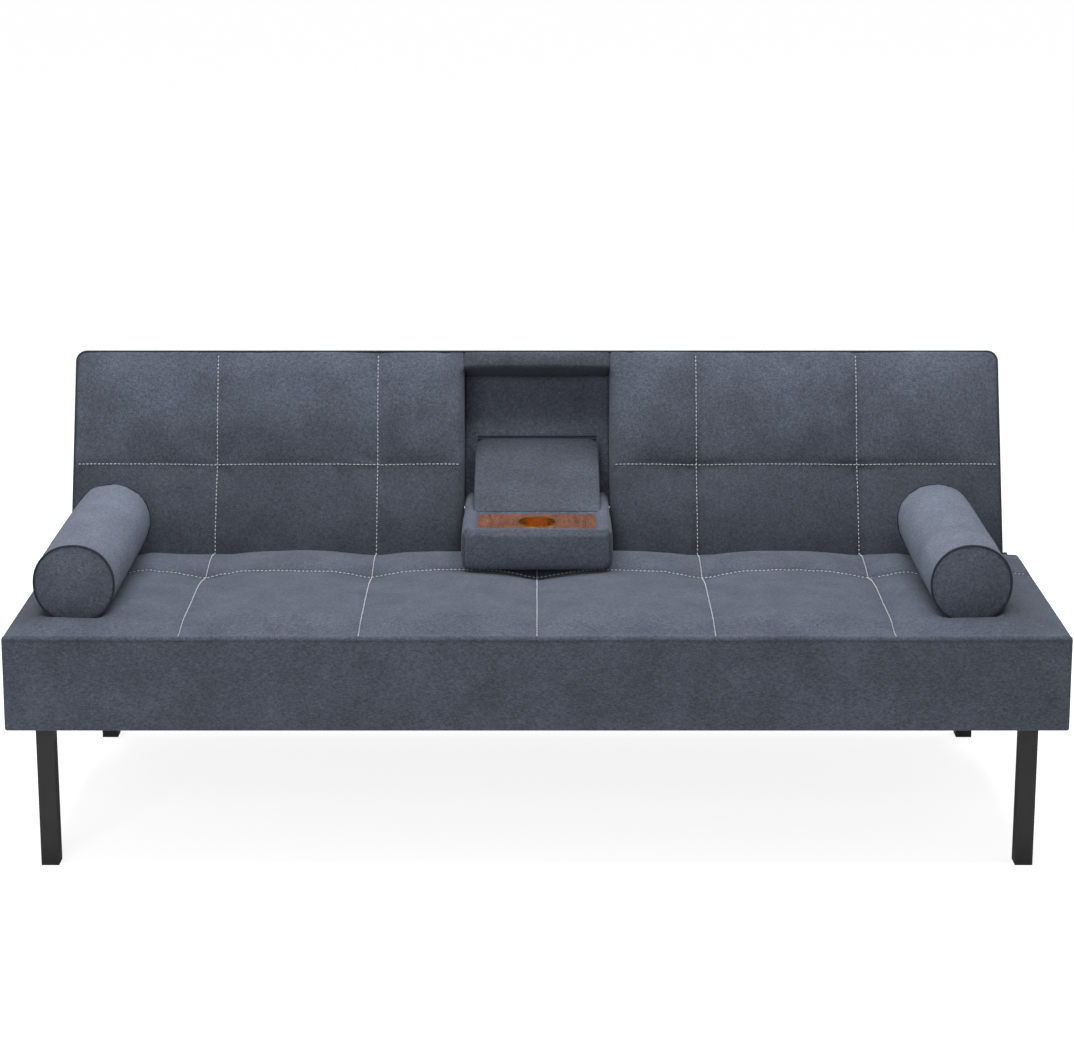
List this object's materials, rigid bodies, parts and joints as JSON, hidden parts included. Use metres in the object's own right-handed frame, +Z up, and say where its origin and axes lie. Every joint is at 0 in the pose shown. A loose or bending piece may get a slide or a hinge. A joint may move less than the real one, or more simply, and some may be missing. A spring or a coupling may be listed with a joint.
{
  "type": "futon sofa bed",
  "caption": "Click-clack futon sofa bed: quilted seat slab on square steel legs, reclining backrest that folds flat, fold-down centre console with cup well, loose bolsters.",
  "frame": {"origin": "on the floor, at the centre of the bounding box's base", "axes": "+X across the seat to a viewer's right, -Y the way a sitter faces (front), +Z up"},
  "size_m": [1.78, 0.7728, 0.7642],
  "materials": {
    "steel_frame": "satin",
    "zinc_hardware": "satin",
    "seat_fabric": "matte",
    "back_fabric": "matte",
    "console_fabric": "matte",
    "bolster_fabric": "matte",
    "piping": "matte",
    "foam": "matte",
    "timber": "matte",
    "walnut": "satin",
    "brass": "polished",
    "black_plastic": "matte",
    "rubber": "matte",
    "webbing": "matte",
    "dust_cloth": "matte"
  },
  "bodies": {
    "base": {"side_rails": "steel_frame", "cross_rails": "steel_frame", "legs": "steel_frame", "leg_plates": "steel_frame", "leg_bolts": "zinc_hardware", "leg_glides": "black_plastic", "rail_caps": "black_plastic", "hinge_brackets": "steel_frame", "hinge_pins": "zinc_hardware", "ratchet_wheels": "zinc_hardware", "seat_boards": "timber", "corner_blocks": "timber", "battens": "timber", "batten_bolts": "zinc_hardware", "seat_webbing": "webbing", "webbing_staples": "zinc_hardware", "seat_foam": "foam", "seat_cover": "seat_fabric", "dust_cover": "dust_cloth", "back_bumpers": "rubber"},
    "backrest": {"back_stiles": "timber", "back_top_rail": "timber", "back_bottom_rail": "timber", "back_webbing": "webbing", "hinge_arms": "steel_frame", "back_screws": "zinc_hardware", "ratchet_pawls": "zinc_hardware", "pawl_rivets": "zinc_hardware", "pawl_springs": "zinc_hardware", "wing_foam_left": "foam", "wing_foam_right": "foam", "wing_cover_left": "back_fabric", "wing_cover_right": "back_fabric", "top_strip_cover": "back_fabric", "top_strip_foam": "foam", "lower_band": "back_fabric", "recess_panel": "timber", "recess_lining": "back_fabric", "panel_cleats": "timber", "rear_panel": "back_fabric", "back_piping": "piping", "console_brackets": "steel_frame", "console_flap": "console_fabric"},
    "console": {"console_base": "timber", "console_boards": "timber", "console_deck": "timber", "console_pad": "console_fabric", "console_tray": "walnut", "cup_liner": "brass", "console_pins": "zinc_hardware"},
    "bolster_left": {"bolster_left_cover": "bolster_fabric", "bolster_left_ends": "bolster_fabric", "bolster_left_piping": "piping", "bolster_left_filling": "foam"},
    "bolster_right": {"bolster_right_cover": "bolster_fabric", "bolster_right_ends": "bolster_fabric", "bolster_right_piping": "piping", "bolster_right_filling": "foam"}
  },
  "joints": [
    {"name": "back_recline", "type": "hinge", "parent": "base", "child": "backrest", "pos_m": [0, 0.14864, 0.388], "axis": [-1, 0, 0], "range_deg": [0, 69]},
    {"name": "console_fold", "type": "hinge", "parent": "backrest", "child": "console", "pos_m": [0, 0.21058, 0.474], "axis": [-1, 0, 0], "range_deg": [0, 111], "deforming": ["console_flap"]},
    {"name": "bolster_left_lift", "type": "slide", "parent": "base", "child": "bolster_left", "axis": [0, 0, 1], "range_m": [0, 0.25]},
    {"name": "bolster_right_lift", "type": "slide", "parent": "base", "child": "bolster_right", "axis": [0, 0, 1], "range_m": [0, 0.25]}
  ]
}
